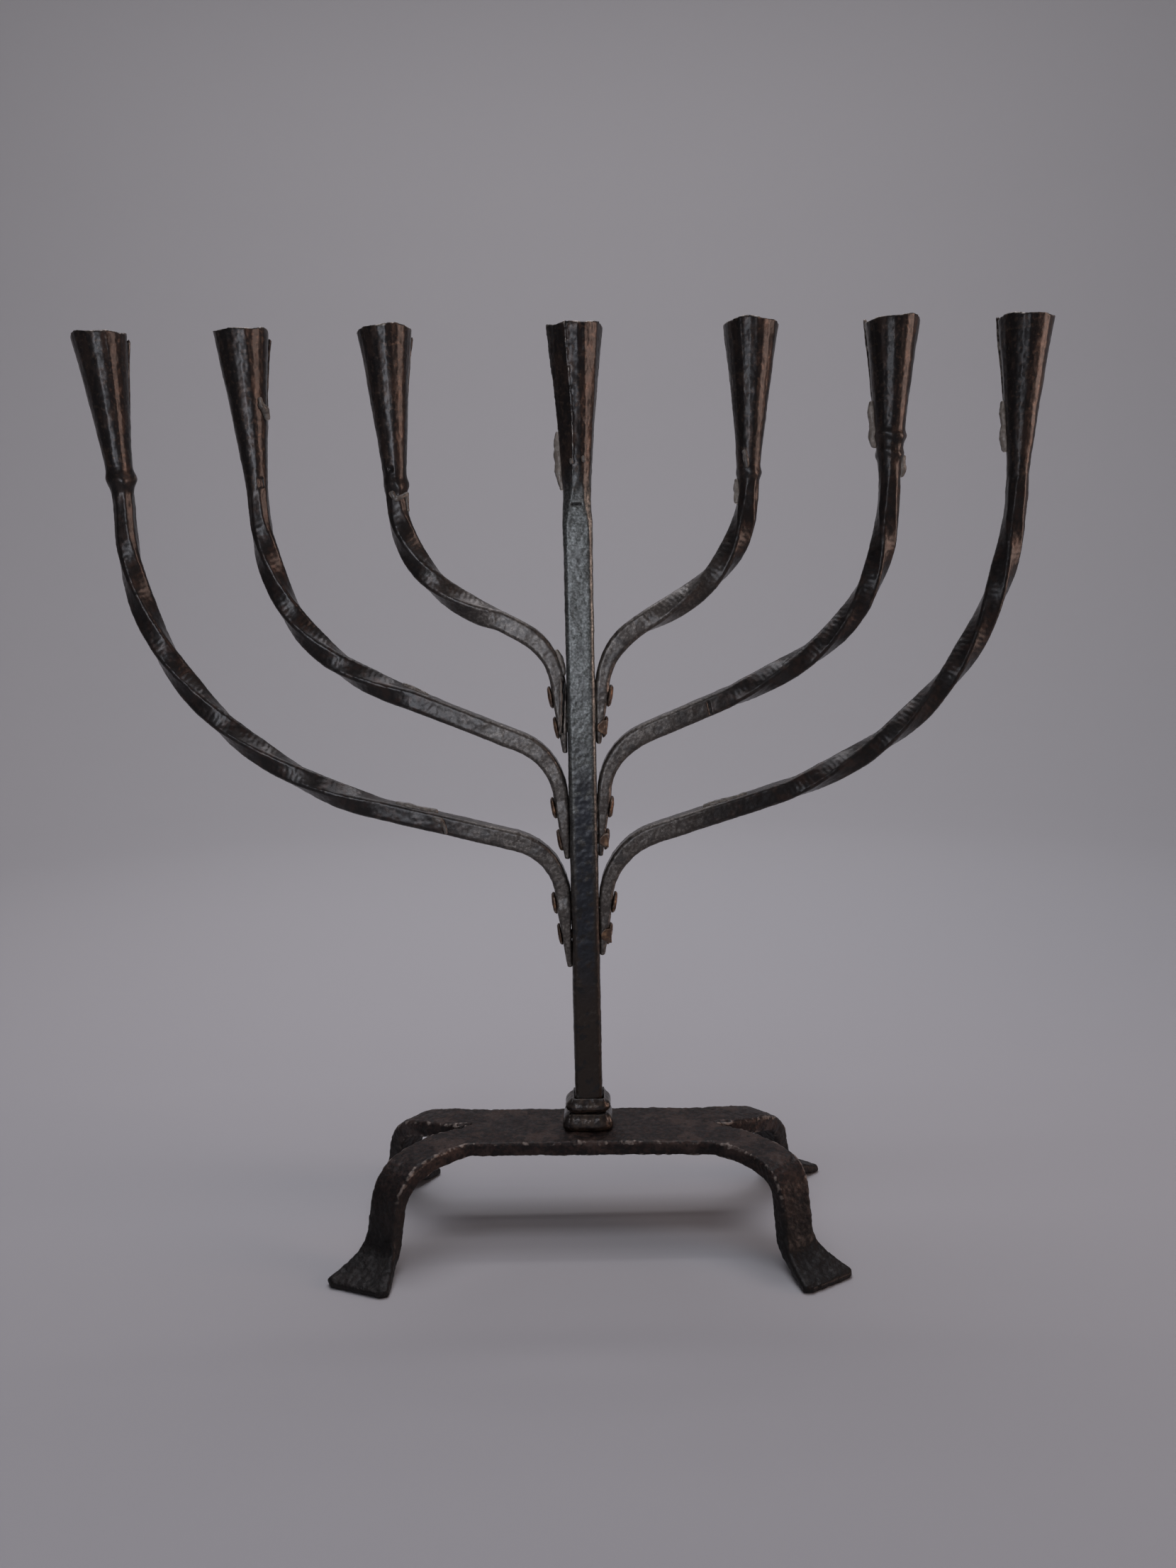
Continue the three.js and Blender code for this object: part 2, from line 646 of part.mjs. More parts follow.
add("base", baseSolid(), finish.patina);
add("stem", stemSolid(), finish.scale);
add("collar_lower", collarSolid(lowerCollar, baseBar.top + clearance), finish.patina);
const upperSeat = baseBar.top + 2 * clearance + lowerCollar.height;
add("collar_upper", collarSolid(upperCollar, upperSeat), finish.patina);
tiers.forEach((tier, i) => {
  const holes = shankHoles(tier);
  add(`arm_${tier.name}_left`, armSolid(tier.left, -1, i * 1.7).subtract(holes), finish.scale);
  add(`arm_${tier.name}_right`, armSolid(tier.right, 1, 0.8 + i * 2.3).subtract(holes), finish.scale);
  add(`rivet_${tier.name}_upper`, rivetSolid(tier, tier.rivets[0], false), finish.rivetSteel);
  add(`rivet_${tier.name}_lower`, rivetSolid(tier, tier.rivets[1], true), finish.rivetSteel);
});

// The origin goes under the middle of the whole, on the table.
const extent = new THREE.Box3().setFromObject(menorah);
const middle = extent.getCenter(new THREE.Vector3());
menorah.position.set(-middle.x, -middle.y, -extent.min.z);

export default menorah;
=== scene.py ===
# %% [markdown]
# # A hand-forged candle holder
#
# The real object is made by a smith from plain square and flat bar. Nothing on it is quite
# straight: each face was struck with a hammer, each edge was softened in the fire, and old wax
# has soaked into the scale. The CAD model gives the true size and place of every bar. This
# lesson takes each bar, rebuilds its surface finely enough to carry hammer marks, and gives it
# the finish of forged iron.

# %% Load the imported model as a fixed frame
import math
import random

import bpy
import numpy as np
from mathutils import Matrix, Vector


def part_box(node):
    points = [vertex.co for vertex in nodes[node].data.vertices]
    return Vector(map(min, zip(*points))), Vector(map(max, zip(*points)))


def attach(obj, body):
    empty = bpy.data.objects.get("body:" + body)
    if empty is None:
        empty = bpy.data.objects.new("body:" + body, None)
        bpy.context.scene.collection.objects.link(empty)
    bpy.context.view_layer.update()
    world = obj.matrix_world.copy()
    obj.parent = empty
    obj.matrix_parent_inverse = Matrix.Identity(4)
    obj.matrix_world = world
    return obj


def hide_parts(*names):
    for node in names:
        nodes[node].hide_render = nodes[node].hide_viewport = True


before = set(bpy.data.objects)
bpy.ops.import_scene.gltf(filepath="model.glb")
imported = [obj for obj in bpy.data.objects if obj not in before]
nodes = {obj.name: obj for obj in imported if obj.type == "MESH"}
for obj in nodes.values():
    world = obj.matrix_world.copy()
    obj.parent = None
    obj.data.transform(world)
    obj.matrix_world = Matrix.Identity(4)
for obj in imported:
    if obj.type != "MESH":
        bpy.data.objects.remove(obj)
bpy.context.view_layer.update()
mm = 0.001
print("CAD nodes:", len(nodes))

# %% [markdown]
# ## Where the stem stands
#
# Almost every place on this object is easiest to give from the stem: so far to the side of it,
# so far in front of it, so high above the table. The stem's own square shoulder, just above
# the base, tells us where its axis is.

# %% Measure the stem and the heights


def vertices_of(piece):
    """The vertices of a mesh object as rows of x, y, z."""
    flat = np.empty(len(piece.data.vertices) * 3, np.float32)
    piece.data.vertices.foreach_get("co", flat)
    return flat.reshape(-1, 3).astype(float)


def move_vertices(piece, points):
    """Writes rows of x, y, z back to a mesh object."""
    piece.data.vertices.foreach_set("co", points.astype(np.float32).ravel())
    piece.data.update()


def slice_centre(piece, low, high):
    """The middle of what a piece has between two heights."""
    points = vertices_of(piece)
    inside = points[(points[:, 2] > low) & (points[:, 2] < high)]
    return Vector((inside.min(0) + inside.max(0)) / 2)


base_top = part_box("collar_lower")[0].z
rim_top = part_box("stem")[1].z
neck = 446 * mm  # where every socket begins
stem_at = slice_centre(nodes["stem"], base_top - 0.5 * mm, base_top + 5 * mm)
print("stem axis at", round(stem_at.x, 5), round(stem_at.y, 5))
print("base top", round(base_top, 4), "rim top", round(rim_top, 4))


def from_stem(x, y, z):
    """A point given in millimetres to the right of the stem, behind it, and above the table."""
    return Vector((stem_at.x + x * mm, stem_at.y + y * mm, z * mm))


# %% [markdown]
# ## The camera
#
# The object is seen from a little above the middle of its height, from close by, so the near
# feet look larger than the far ones. The lens is given by its focal length on a 36 mm wide
# sensor. The camera looks slightly down, and it was held a trace off level.

# %% Add the camera
lens_in_picture_widths = 1.0012  # focal length as a share of the picture's width
sensor_width = 36
look_down = math.radians(7.8)
off_level = math.radians(-1.1)
camera_place = from_stem(3.2, -705, 373)

camera_data = bpy.data.cameras.new("camera")
camera_data.sensor_fit = "HORIZONTAL"
camera_data.sensor_width = sensor_width
camera_data.lens = sensor_width * lens_in_picture_widths
camera_data.clip_start = 0.05
camera = bpy.data.objects.new("camera", camera_data)
bpy.context.scene.collection.objects.link(camera)
level = Matrix.Rotation(math.radians(90) - look_down, 4, "X")
rolled = Matrix.Rotation(off_level, 4, "Z")
camera.matrix_world = Matrix.Translation(camera_place) @ level @ rolled
bpy.context.scene.camera = camera
print("camera at", tuple(round(v, 3) for v in camera_place))

# %% [markdown]
# ## Colours and nodes
#
# Colours are easiest to read as the hex values of a colour picker, but the renderer adds light,
# so it needs them linear. One function turns the one into the other. A second small function
# adds a shader node with its settings and its links, so a material reads from top to bottom.

# %% Two helpers for materials


def linear(hex_value):
    """A linear RGBA colour from an sRGB hex value such as '#4b4f55'."""
    channels = [int(hex_value[i:i + 2], 16) / 255 for i in (1, 3, 5)]
    straight = [c / 12.92 if c <= 0.04045 else ((c + 0.055) / 1.055) ** 2.4 for c in channels]
    return (*straight, 1.0)


def add_node(tree, kind, settings=None, inputs=None):
    """Adds a node. An input is a value, or another node's output to link from."""
    node = tree.nodes.new(kind)
    for name, value in (settings or {}).items():
        setattr(node, name, value)
    for key, value in (inputs or {}).items():
        if isinstance(value, bpy.types.NodeSocket):
            tree.links.new(value, node.inputs[key])
        else:
            node.inputs[key].default_value = value
    return node


print("picker grey #808080 in linear light:", round(linear("#808080")[0], 3))

# %% [markdown]
# ## The floor and the backdrop
#
# A pale sheet that curves up at its far edge all round makes one plain, soft background from
# every side. It is a disc whose rim is extruded outwards and upwards in small steps.

# %% Make the pale sheet


def only(piece):
    """Leaves one object selected and active, and nothing else."""
    bpy.ops.object.select_all(action="DESELECT")
    piece.select_set(True)
    bpy.context.view_layer.objects.active = piece


def pale_sheet():
    """A disc, with its rim extruded along a quarter circle and then straight up."""
    flat_radius, curve_radius, wall_top = 1.5, 1.2, 3.2
    axis = (stem_at.x, stem_at.y, 0)
    bpy.ops.object.select_all(action="DESELECT")
    bpy.ops.mesh.primitive_circle_add(
        vertices=96, radius=flat_radius, fill_type="NGON", location=axis)
    sheet = bpy.context.object
    sheet.name = "pale_sheet"
    bpy.ops.object.mode_set(mode="EDIT")
    bpy.ops.mesh.select_mode(type="EDGE")
    bpy.ops.mesh.select_all(action="SELECT")
    bpy.ops.mesh.region_to_loop()
    steps = 10
    reach, height = flat_radius, 0
    for i in range(1, steps + 1):
        angle = math.radians(90) * i / steps
        next_reach = flat_radius + curve_radius * math.sin(angle)
        next_height = curve_radius * (1 - math.cos(angle))
        lift = (0, 0, next_height - height)
        bpy.ops.mesh.extrude_edges_move(TRANSFORM_OT_translate={"value": lift})
        grow = next_reach / reach
        bpy.ops.transform.resize(value=(grow, grow, 1), center_override=axis)
        reach, height = next_reach, next_height
    lift = (0, 0, wall_top - height)
    bpy.ops.mesh.extrude_edges_move(TRANSFORM_OT_translate={"value": lift})
    bpy.ops.object.mode_set(mode="OBJECT")
    bpy.ops.object.transform_apply(location=True, rotation=True, scale=True)
    bpy.ops.object.shade_smooth()
    return sheet


def painted_board():
    """Matt white board, slightly dulled: pale, even and without gloss."""
    material = bpy.data.materials.new("painted_board")
    material.use_nodes = True
    tree = material.node_tree
    shader = tree.nodes["Principled BSDF"]
    shader.inputs["Base Color"].default_value = linear("#b7b6b9")
    shader.inputs["Roughness"].default_value = 0.8
    return material


sheet = pale_sheet()
sheet.data.materials.append(painted_board())
print("backdrop faces:", len(sheet.data.polygons))

# %% [markdown]
# ## Soft studio light
#
# Iron shows its form only through what it mirrors, so each light has a job. A small cool soft
# box in front, at the height of the sockets, draws a blue-grey line down each of them and
# fades towards the right. A large warm one far to the right tints the right-hand sides. One
# overhead fills the floor, and two wash the sheet before and behind the object.

# %% Add the lights


def soft_box(name, place, aim, size, power, colour, spread):
    """An area light. Size in metres, power in watts, spread in degrees."""
    data = bpy.data.lights.new(name, "AREA")
    data.shape = "RECTANGLE"
    data.size, data.size_y = size
    data.energy = power
    data.color = linear(colour)[:3]
    data.spread = math.radians(spread)
    light = bpy.data.objects.new(name, data)
    bpy.context.scene.collection.objects.link(light)
    away = place - aim
    light.matrix_world = (
        Matrix.Translation(place) @ away.to_track_quat("Z", "Y").to_matrix().to_4x4())
    light.visible_camera = False


socket_height = from_stem(0, 0, 460)
soft_box(
    "cool_front", place=from_stem(-170, -950, 410), aim=from_stem(-150, 0, 460),
    size=(0.2, 0.4), power=0.36, colour="#f0f4ff", spread=70)
soft_box(
    "warm_right", place=from_stem(1500, -340, 620), aim=socket_height,
    size=(0.7, 1.3), power=1.55, colour="#ffd9c8", spread=60)
soft_box(
    "overhead", place=from_stem(0, 150, 1700), aim=from_stem(0, 0, 300),
    size=(1.2, 1.2), power=11.5, colour="#f6f6ff", spread=180)
soft_box(
    "far_wash", place=from_stem(0, 900, 1900), aim=from_stem(0, 2600, 500),
    size=(1.6, 0.6), power=18, colour="#faf6f8", spread=180)
soft_box(
    "near_wash", place=from_stem(0, -900, 2100), aim=from_stem(0, -2600, 500),
    size=(1.6, 0.6), power=5, colour="#faf6f8", spread=180)

# %% [markdown]
# The world adds a dim grey glow from all round, so that no side of the iron is wholly black.
# The standard view transform keeps the colours of the finishes as they were picked.

# %% Set the world's glow and the view transform
world = bpy.data.worlds.new("studio")
bpy.context.scene.world = world
world.use_nodes = True
glow = world.node_tree.nodes["Background"]
glow.inputs["Color"].default_value = linear("#b6b6bb")
glow.inputs["Strength"].default_value = 0.2
bpy.context.scene.view_settings.view_transform = "Standard"
print("world:", world.name, "view transform:", bpy.context.scene.view_settings.view_transform)

# %% [markdown]
# ## Rebuilding a bar finely
#
# A CAD solid has large flat facets. To strike hammer marks into it, the surface must be made of
# small even faces, as clay is. So each node is copied, its doubled points are merged, and a
# voxel remesh rebuilds it. A few passes of smoothing then soften the edges as forging does.

# %% The function that rebuilds a node


def apply_modifier(piece, kind, **settings):
    """Adds a modifier with its settings and makes its result the mesh."""
    only(piece)
    modifier = piece.modifiers.new(kind.lower(), kind)
    for name, value in settings.items():
        setattr(modifier, name, value)
    bpy.ops.object.modifier_apply(modifier=modifier.name)


def rebuilt(node, voxel, soften):
    """A finely meshed copy of a CAD node: voxel in metres, soften in smoothing passes."""
    piece = bpy.data.objects.new(f"{node}_forging", nodes[node].data.copy())
    bpy.context.scene.collection.objects.link(piece)
    piece.data.materials.clear()
    only(piece)
    bpy.ops.object.mode_set(mode="EDIT")
    bpy.ops.mesh.select_all(action="SELECT")
    bpy.ops.mesh.remove_doubles(threshold=0.01 * mm)
    bpy.ops.object.mode_set(mode="OBJECT")
    apply_modifier(piece, "REMESH", mode="VOXEL", voxel_size=voxel, use_smooth_shade=True)
    apply_modifier(piece, "SMOOTH", factor=0.5, iterations=soften)
    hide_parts(node)
    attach(piece, "root")
    return piece


# %% [markdown]
# ## Hammer marks
#
# A hammer leaves shallow dishes that overlap, with soft ridges between them. A Voronoi pattern
# of squared distances has just that shape: a bowl round each point, and a crease where two
# bowls meet. A slow cloud pattern under it makes the bar waver as a hand-drawn one does, and
# a small one makes the scale lumpy. All are pushed into the mesh, not painted on, so they
# show along the outline as well.

# %% Strike marks into a piece


def displaced(piece, kind, size, depth, **settings):
    """Pushes a procedural pattern of one size and depth, in metres, into a piece."""
    pattern = bpy.data.textures.new(f"{piece.name}_{kind.lower()}", kind)
    pattern.noise_scale = size
    for name, value in settings.items():
        setattr(pattern, name, value)
    apply_modifier(
        piece, "DISPLACE", texture=pattern, texture_coords="GLOBAL", strength=depth,
        mid_level=0.4)
    bpy.data.textures.remove(pattern)


def hammered(piece, blow, depth, waver, lumps):
    """Hammer blows of one width and depth, on a bar that wavers and is lumpy with scale."""
    waver_length, lump_width = 22 * mm, 2.6 * mm
    displaced(piece, "CLOUDS", waver_length, waver)
    displaced(piece, "VORONOI", blow, depth, distance_metric="DISTANCE_SQUARED")
    displaced(piece, "CLOUDS", lump_width, lumps, noise_depth=1)


# %% [markdown]
# ## Ridges and hollows
#
# Handling rubs scale off the ridges, and soot and old wax stay in the hollows. A material can
# only follow that if it knows where they are. So each vertex is compared with a smoothed copy
# of its surroundings: above it is a ridge, below it is a hollow. The result is kept on the mesh
# as an attribute named relief, where 1 stands for a ridge of 0.3 mm.

# %% Measure the relief of a piece


def mark_relief(piece):
    """Notes on each vertex how far it stands above its surroundings, and returns the values."""
    passes, unit = 10, 0.3 * mm
    mesh = piece.data
    points = vertices_of(piece)
    normals = np.empty(len(points) * 3, np.float32)
    mesh.vertices.foreach_get("normal", normals)
    normals = normals.reshape(-1, 3)
    ends = np.empty(len(mesh.edges) * 2, np.int32)
    mesh.edges.foreach_get("vertices", ends)
    first, second = ends.reshape(-1, 2).T
    count = len(points)
    neighbours = np.bincount(first, minlength=count) + np.bincount(second, minlength=count)
    smooth = points.copy()
    for _ in range(passes):
        smooth = np.stack([
            np.bincount(first, smooth[second, k], count)
            + np.bincount(second, smooth[first, k], count) for k in range(3)
        ], axis=1) / neighbours[:, None]
    relief = ((points - smooth) * normals).sum(1) / unit
    attribute = mesh.attributes.new("relief", "FLOAT", "POINT")
    attribute.data.foreach_set("value", relief.astype(np.float32))
    return relief


# %% [markdown]
# ## Sockets
#
# Each socket began as the bar's end, hammered out flat and rolled round a cone. The hammer left
# it in narrow flats that run up the cone, not round. To shape them, every point of the socket
# is drawn towards a many-sided outline about the socket's own axis, inside and outside alike,
# so the wall keeps its thickness.

# %% Shape a socket's flats


def socket_axis(node):
    """A socket's foot, and its direction."""
    foot = slice_centre(nodes[node], neck - 5 * mm, neck + 2 * mm)
    top = slice_centre(nodes[node], rim_top - 12 * mm, rim_top + 5 * mm)
    foot.z, top.z = neck, rim_top - 3 * mm
    return foot, (top - foot).normalized()


def uneven_edges(seed, count=8):
    """The edges between a socket's flats, in degrees, with uneven spacing."""
    chance = random.Random(seed)
    shares = [1 + chance.uniform(-0.35, 0.35) for _ in range(count)]
    return np.cumsum(shares) / sum(shares) * 360 + chance.uniform(0, 360)


def facet_socket(piece, node, edges, strength):
    """Draws a socket towards flats. Edges are degrees to the right of straight forward."""
    foot, axis = socket_axis(node)
    count = len(edges)
    full_turn = 2 * math.pi
    sway, sway_length = 0.08, 19 * mm  # how far the edges wander from straight, in radians
    fade = 14 * mm  # the flats grow in over this much of the neck
    edges = np.sort(np.radians(np.array(edges) - 90) % full_turn)
    points = vertices_of(piece)
    along = (points - np.array(foot)) @ np.array(axis)
    centre = np.array(foot) + along[:, None] * np.array(axis)
    spoke = points - centre
    wander = sway * np.sin(along / sway_length + count)
    angle = (np.arctan2(spoke[:, 1], spoke[:, 0]) + wander) % full_turn
    index = np.searchsorted(edges, angle) % count
    upper = edges[index]
    lower = edges[index - 1]
    half = ((upper - lower) % full_turn) / 2
    off_middle = (angle - lower) % full_turn - half
    flat = np.cos(half) / np.cos(off_middle)
    grown = 1 + 0.7 * (1 - np.cos(half))  # keeps the flats near the cone's true radius
    amount = strength * np.clip(along / fade, 0, 1)
    points = centre + spoke * (1 + amount * (flat * grown - 1))[:, None]
    move_vertices(piece, points)


_, outer_direction = socket_axis("arm_low_left")
lean = outer_direction.angle(Vector((0, 0, 1)))
print("the outer left socket leans", round(math.degrees(lean), 1), "degrees from upright")

# %% [markdown]
# ## Single marks
#
# A few marks were made on purpose or by mishap: a square punch on two of the necks, a groove
# under the middle socket, a chisel's slip on an arm, a crack in a crook. A ray from the front,
# or from above, finds the surface, and the points round that place are pressed in along it.
# Where wax has set round a neck and been handled black, the neck swells into a lumpy ring.

# %% Press marks and raise rings


def press(piece, start, into, width, height, depth, slant=0.0):
    """Presses a soft-edged oblong into a surface, where a ray from start meets it.

    Into is the ray's direction: straight back or straight down. The oblong's width runs to the
    right, its height upwards or backwards. Sizes are in metres, slant in degrees.
    """
    _, place, _, _ = piece.ray_cast(start, into)
    points = vertices_of(piece)
    off = points - np.array(place)
    inward = off @ np.array(into)
    upward = off[:, 1] if into.z else off[:, 2]
    turn = math.radians(slant)
    along = off[:, 0] * math.cos(turn) + upward * math.sin(turn)
    athwart = upward * math.cos(turn) - off[:, 0] * math.sin(turn)
    soft = 0.7 * mm  # how wide the oblong's edge is
    near = 4 * mm  # what lies deeper than this is another side of the bar
    inside = (np.clip((width / 2 - np.abs(along)) / soft + 0.5, 0, 1)
              * np.clip((height / 2 - np.abs(athwart)) / soft + 0.5, 0, 1)
              * (np.abs(inward) < near))
    points += np.array(into) * (depth * inside)[:, None]
    move_vertices(piece, points)


def swell_neck(piece, node, height, thickness, lift):
    """Raises a lumpy ring round a socket's neck. Height in metres above the table."""
    foot, axis = socket_axis(node)
    points = vertices_of(piece)
    along = (points - np.array(foot)) @ np.array(axis)
    spoke = points - np.array(foot) - along[:, None] * np.array(axis)
    radius = np.linalg.norm(spoke, axis=1)
    angle = np.arctan2(spoke[:, 1], spoke[:, 0])
    tilt, reach = 1.2 * mm, 15 * mm  # what lies further out than the reach is another arm
    centre = height - neck + tilt * np.sin(2 * angle)
    ring = np.exp(-((along - centre) / thickness) ** 2) * (radius < reach)
    lumps = 0.75 + 0.25 * np.sin(3 * angle + 1) * np.cos(2 * angle)
    points += spoke / radius[:, None] * (lift * ring * lumps)[:, None]
    move_vertices(piece, points)


# %% [markdown]
# ## Patches and coverings
#
# Forged iron is never one colour. It helps to think of its finish as coverings laid one over
# the other: scale on brown oxide, soot on scale, bare metal where it is rubbed. Each covering
# needs a colour and a value that says where it lies. Two small patterns of nodes do all of
# this: cloudy patches of a real size, and one colour laid over another.

# %% Patches of a real size, and one colour over another


def patches(tree, where, size, low, high, detail=4.0, stretch=(1, 1, 1)):
    """Cloudy patches of one size, in metres: 0 where the cloud is below low, 1 above high."""
    placed = add_node(tree, "ShaderNodeMapping", inputs={"Vector": where, "Scale": stretch})
    cloud = add_node(
        tree, "ShaderNodeTexNoise",
        inputs={"Vector": placed.outputs[0], "Scale": 1 / size, "Detail": detail})
    return add_node(
        tree, "ShaderNodeMapRange", {"interpolation_type": "SMOOTHSTEP"},
        {"Value": cloud.outputs["Fac"], "From Min": low, "From Max": high}).outputs[0]


def layer(tree, under, over, value, low=0.0, high=1.0, amount=1.0):
    """Lays a hex colour, or a colour socket, over another as a value runs from low to high.

    The amount is the most that the upper colour covers: a number, or a socket.
    """
    under, over = (linear(c) if isinstance(c, str) else c for c in (under, over))
    mask = add_node(
        tree, "ShaderNodeMapRange", {"interpolation_type": "SMOOTHSTEP"},
        {"Value": value, "From Min": low, "From Max": high, "To Max": amount})
    under_socket, over_socket, result = 6, 7, 2  # a Mix node's sockets when it mixes colours
    return add_node(
        tree, "ShaderNodeMix", {"data_type": "RGBA"},
        {"Factor": mask.outputs[0], under_socket: under, over_socket: over}).outputs[result]


# %% [markdown]
# ## What every iron has in common
#
# Each finish starts with the same inputs: the place on the object, the height above the table,
# the distance sideways from the stem, and the relief. Each ends with the same surface: a fine
# grain of pits, about a millimetre across, and an uneven gloss. All of the iron was once wiped
# with wax, and that is the thin clear coat. Iron is a metal, so its IOR stays as it is. In
# every finish, heights and the sizes of patches are in metres.

# %% Start and end an iron finish


def iron_finish(name):
    """A new material, its tree, and the place, height, distance and relief to follow."""
    material = bpy.data.materials.new(name)
    material.use_nodes = True
    tree = material.node_tree
    where = add_node(tree, "ShaderNodeTexCoord").outputs["Object"]
    place = add_node(tree, "ShaderNodeSeparateXYZ", inputs={0: where}).outputs
    sideways = add_node(
        tree, "ShaderNodeMath", {"operation": "SUBTRACT"}, {0: place["X"], 1: stem_at.x})
    distance = add_node(
        tree, "ShaderNodeMath", {"operation": "ABSOLUTE"}, {0: sideways.outputs[0]})
    relief = add_node(tree, "ShaderNodeAttribute", {"attribute_name": "relief"})
    return material, tree, where, place["Z"], distance.outputs[0], relief.outputs["Fac"]


def pitted_surface(tree, where, colour, grain, depth, gloss, matt, metallic, coat):
    """Links a colour and a pitted grain of one size and depth, in metres, to the shader.

    Gloss and matt are the lowest and the highest roughness.
    """
    shader = tree.nodes["Principled BSDF"]
    tree.links.new(colour, shader.inputs["Base Color"])
    gloss_patch = 3 * mm
    cloud = add_node(
        tree, "ShaderNodeTexNoise", inputs={"Vector": where, "Scale": 1 / gloss_patch})
    uneven = add_node(
        tree, "ShaderNodeMapRange", inputs={
            "Value": cloud.outputs["Fac"], "From Min": 0.3, "From Max": 0.7,
            "To Min": gloss, "To Max": matt})
    tree.links.new(uneven.outputs[0], shader.inputs["Roughness"])
    shader.inputs["Metallic"].default_value = metallic
    shader.inputs["Coat Weight"].default_value = coat
    shader.inputs["Coat Roughness"].default_value = 0.3
    pit_spacing = 2.5 * grain
    pits = add_node(
        tree, "ShaderNodeTexVoronoi", inputs={"Vector": where, "Scale": 1 / pit_spacing})
    fine = add_node(
        tree, "ShaderNodeTexNoise", inputs={"Vector": where, "Scale": 1 / grain, "Detail": 5.0})
    both = add_node(
        tree, "ShaderNodeMath", {"operation": "MULTIPLY_ADD"},
        {0: pits.outputs["Distance"], 1: 0.5, 2: fine.outputs["Fac"]})
    bump = add_node(
        tree, "ShaderNodeBump",
        inputs={"Height": both.outputs[0], "Strength": 0.8, "Distance": depth})
    tree.links.new(bump.outputs[0], shader.inputs["Normal"])


def soot_and_wear(tree, where, height, relief, colour):
    """The soot of the sockets, dark hollows and rubbed ridges, over a colour."""
    upright = (1, 1, 0.35)  # draws the streaks out along the height
    streaks = patches(tree, where, 5 * mm, 0.42, 0.7, 5.0, upright)
    soot = layer(tree, "#150f0d", "#33261f", streaks)
    specks = patches(tree, where, 2.2 * mm, 0.5, 0.7, 5.0)
    soot = layer(tree, soot, "#564539", specks, amount=0.5)
    colour = layer(tree, colour, soot, height, neck - 12 * mm, neck + 22 * mm)
    colour = layer(tree, colour, "#120f0d", relief, -0.25, -1.2)
    wear_and_highlight = patches(tree, where, 4 * mm, 0.42, 0.62)
    return layer(tree, colour, "#8d857c", relief, 0.9, 2.2, wear_and_highlight)


# %% [markdown]
# ## The arms: forge scale
#
# Iron that leaves the fire wears a skin of mill scale, blue-grey and slightly shiny. It is
# still there on the arms near the stem. Further out the twisted bars are browner, where the
# scale has flaked and oxide shows, and painted shade makes them much darker away from the
# stem. The sockets are black with soot and soaked wax.

# %% The finish of the arms


def forged_scale():
    """Arms: blue-grey scale near the stem, brown oxide and painted shade on the sweep, sooty
    black on the sockets.
    """
    material, tree, where, height, distance, relief = iron_finish("forged_iron_scale")
    scale = layer(tree, "#49433e", "#6b655f", patches(tree, where, 1.6 * mm, 0.4, 0.7, 6.0))
    oxide = layer(tree, "#150f0c", "#2c1e17", patches(tree, where, 5 * mm, 0.4, 0.7))
    outer_oxide_and_shade = layer(tree, oxide, "#2d2825", patches(tree, where, 16 * mm, 0.55, 0.7, 5.0))
    # further from the stem: brown oxide, made darker with painted shade
    colour = layer(tree, scale, outer_oxide_and_shade, distance, 0.04, 0.1)
    crust = patches(tree, where, 9 * mm, 0.52, 0.66, 6.0)
    colour = layer(tree, colour, "#1f1d1d", crust, amount=0.5)
    colour = soot_and_wear(tree, where, height, relief, colour)
    pitted_surface(tree, where, colour, 0.9 * mm, 0.2 * mm, 0.36, 0.56, 0.8, 0.6)
    return material


# %% [markdown]
# ## The stem: scale, crust and patina
#
# The stem has the brightest scale, at its upper half. Half way down, a blue-black crust of
# burnt oil runs along the middle of the bar, with brown at its edges. Near the base, brown
# patina has replaced the scale, and painted shade makes the lower stem darker.

# %% The finish of the stem


def stem_scale():
    """The stem: bright scale high up, a blue-black crust half way, patina and painted shade at
    its foot.
    """
    material, tree, where, height, distance, relief = iron_finish("forged_iron_stem")
    scale = layer(tree, "#464946", "#737674", patches(tree, where, 1.3 * mm, 0.35, 0.7, 6.0))
    scale = layer(tree, scale, "#393a39", patches(tree, where, 9 * mm, 0.45, 0.7), amount=0.6)
    # brown patina towards the foot, its darkness partly painted shade
    colour = layer(tree, "#2b2118", scale, height, 0.17, 0.33)
    smooth = {"interpolation_type": "SMOOTHSTEP"}
    below_top = add_node(
        tree, "ShaderNodeMapRange", smooth,
        {"Value": height, "From Min": 0.31, "From Max": 0.26})
    above_foot = add_node(
        tree, "ShaderNodeMapRange", smooth,
        {"Value": height, "From Min": 0.13, "From Max": 0.18, "To Max": below_top.outputs[0]})
    along_middle = add_node(
        tree, "ShaderNodeMapRange", smooth,
        {"Value": distance, "From Min": 6.5 * mm, "From Max": 4 * mm,
         "To Max": above_foot.outputs[0]})
    crust = patches(tree, where, 7 * mm, 0.3, 0.5)
    colour = layer(tree, colour, "#1c1f26", crust, amount=along_middle.outputs[0])
    # dark patches, more of them lower down: partly stains, partly painted shade
    stains_and_shade = patches(tree, where, 6 * mm, 0.55, 0.62, 6.0)
    colour = layer(tree, colour, "#191716", height, 0.3, 0.2, stains_and_shade)
    colour = soot_and_wear(tree, where, height, relief, colour)
    pitted_surface(tree, where, colour, 0.9 * mm, 0.2 * mm, 0.36, 0.56, 0.8, 0.6)
    return material
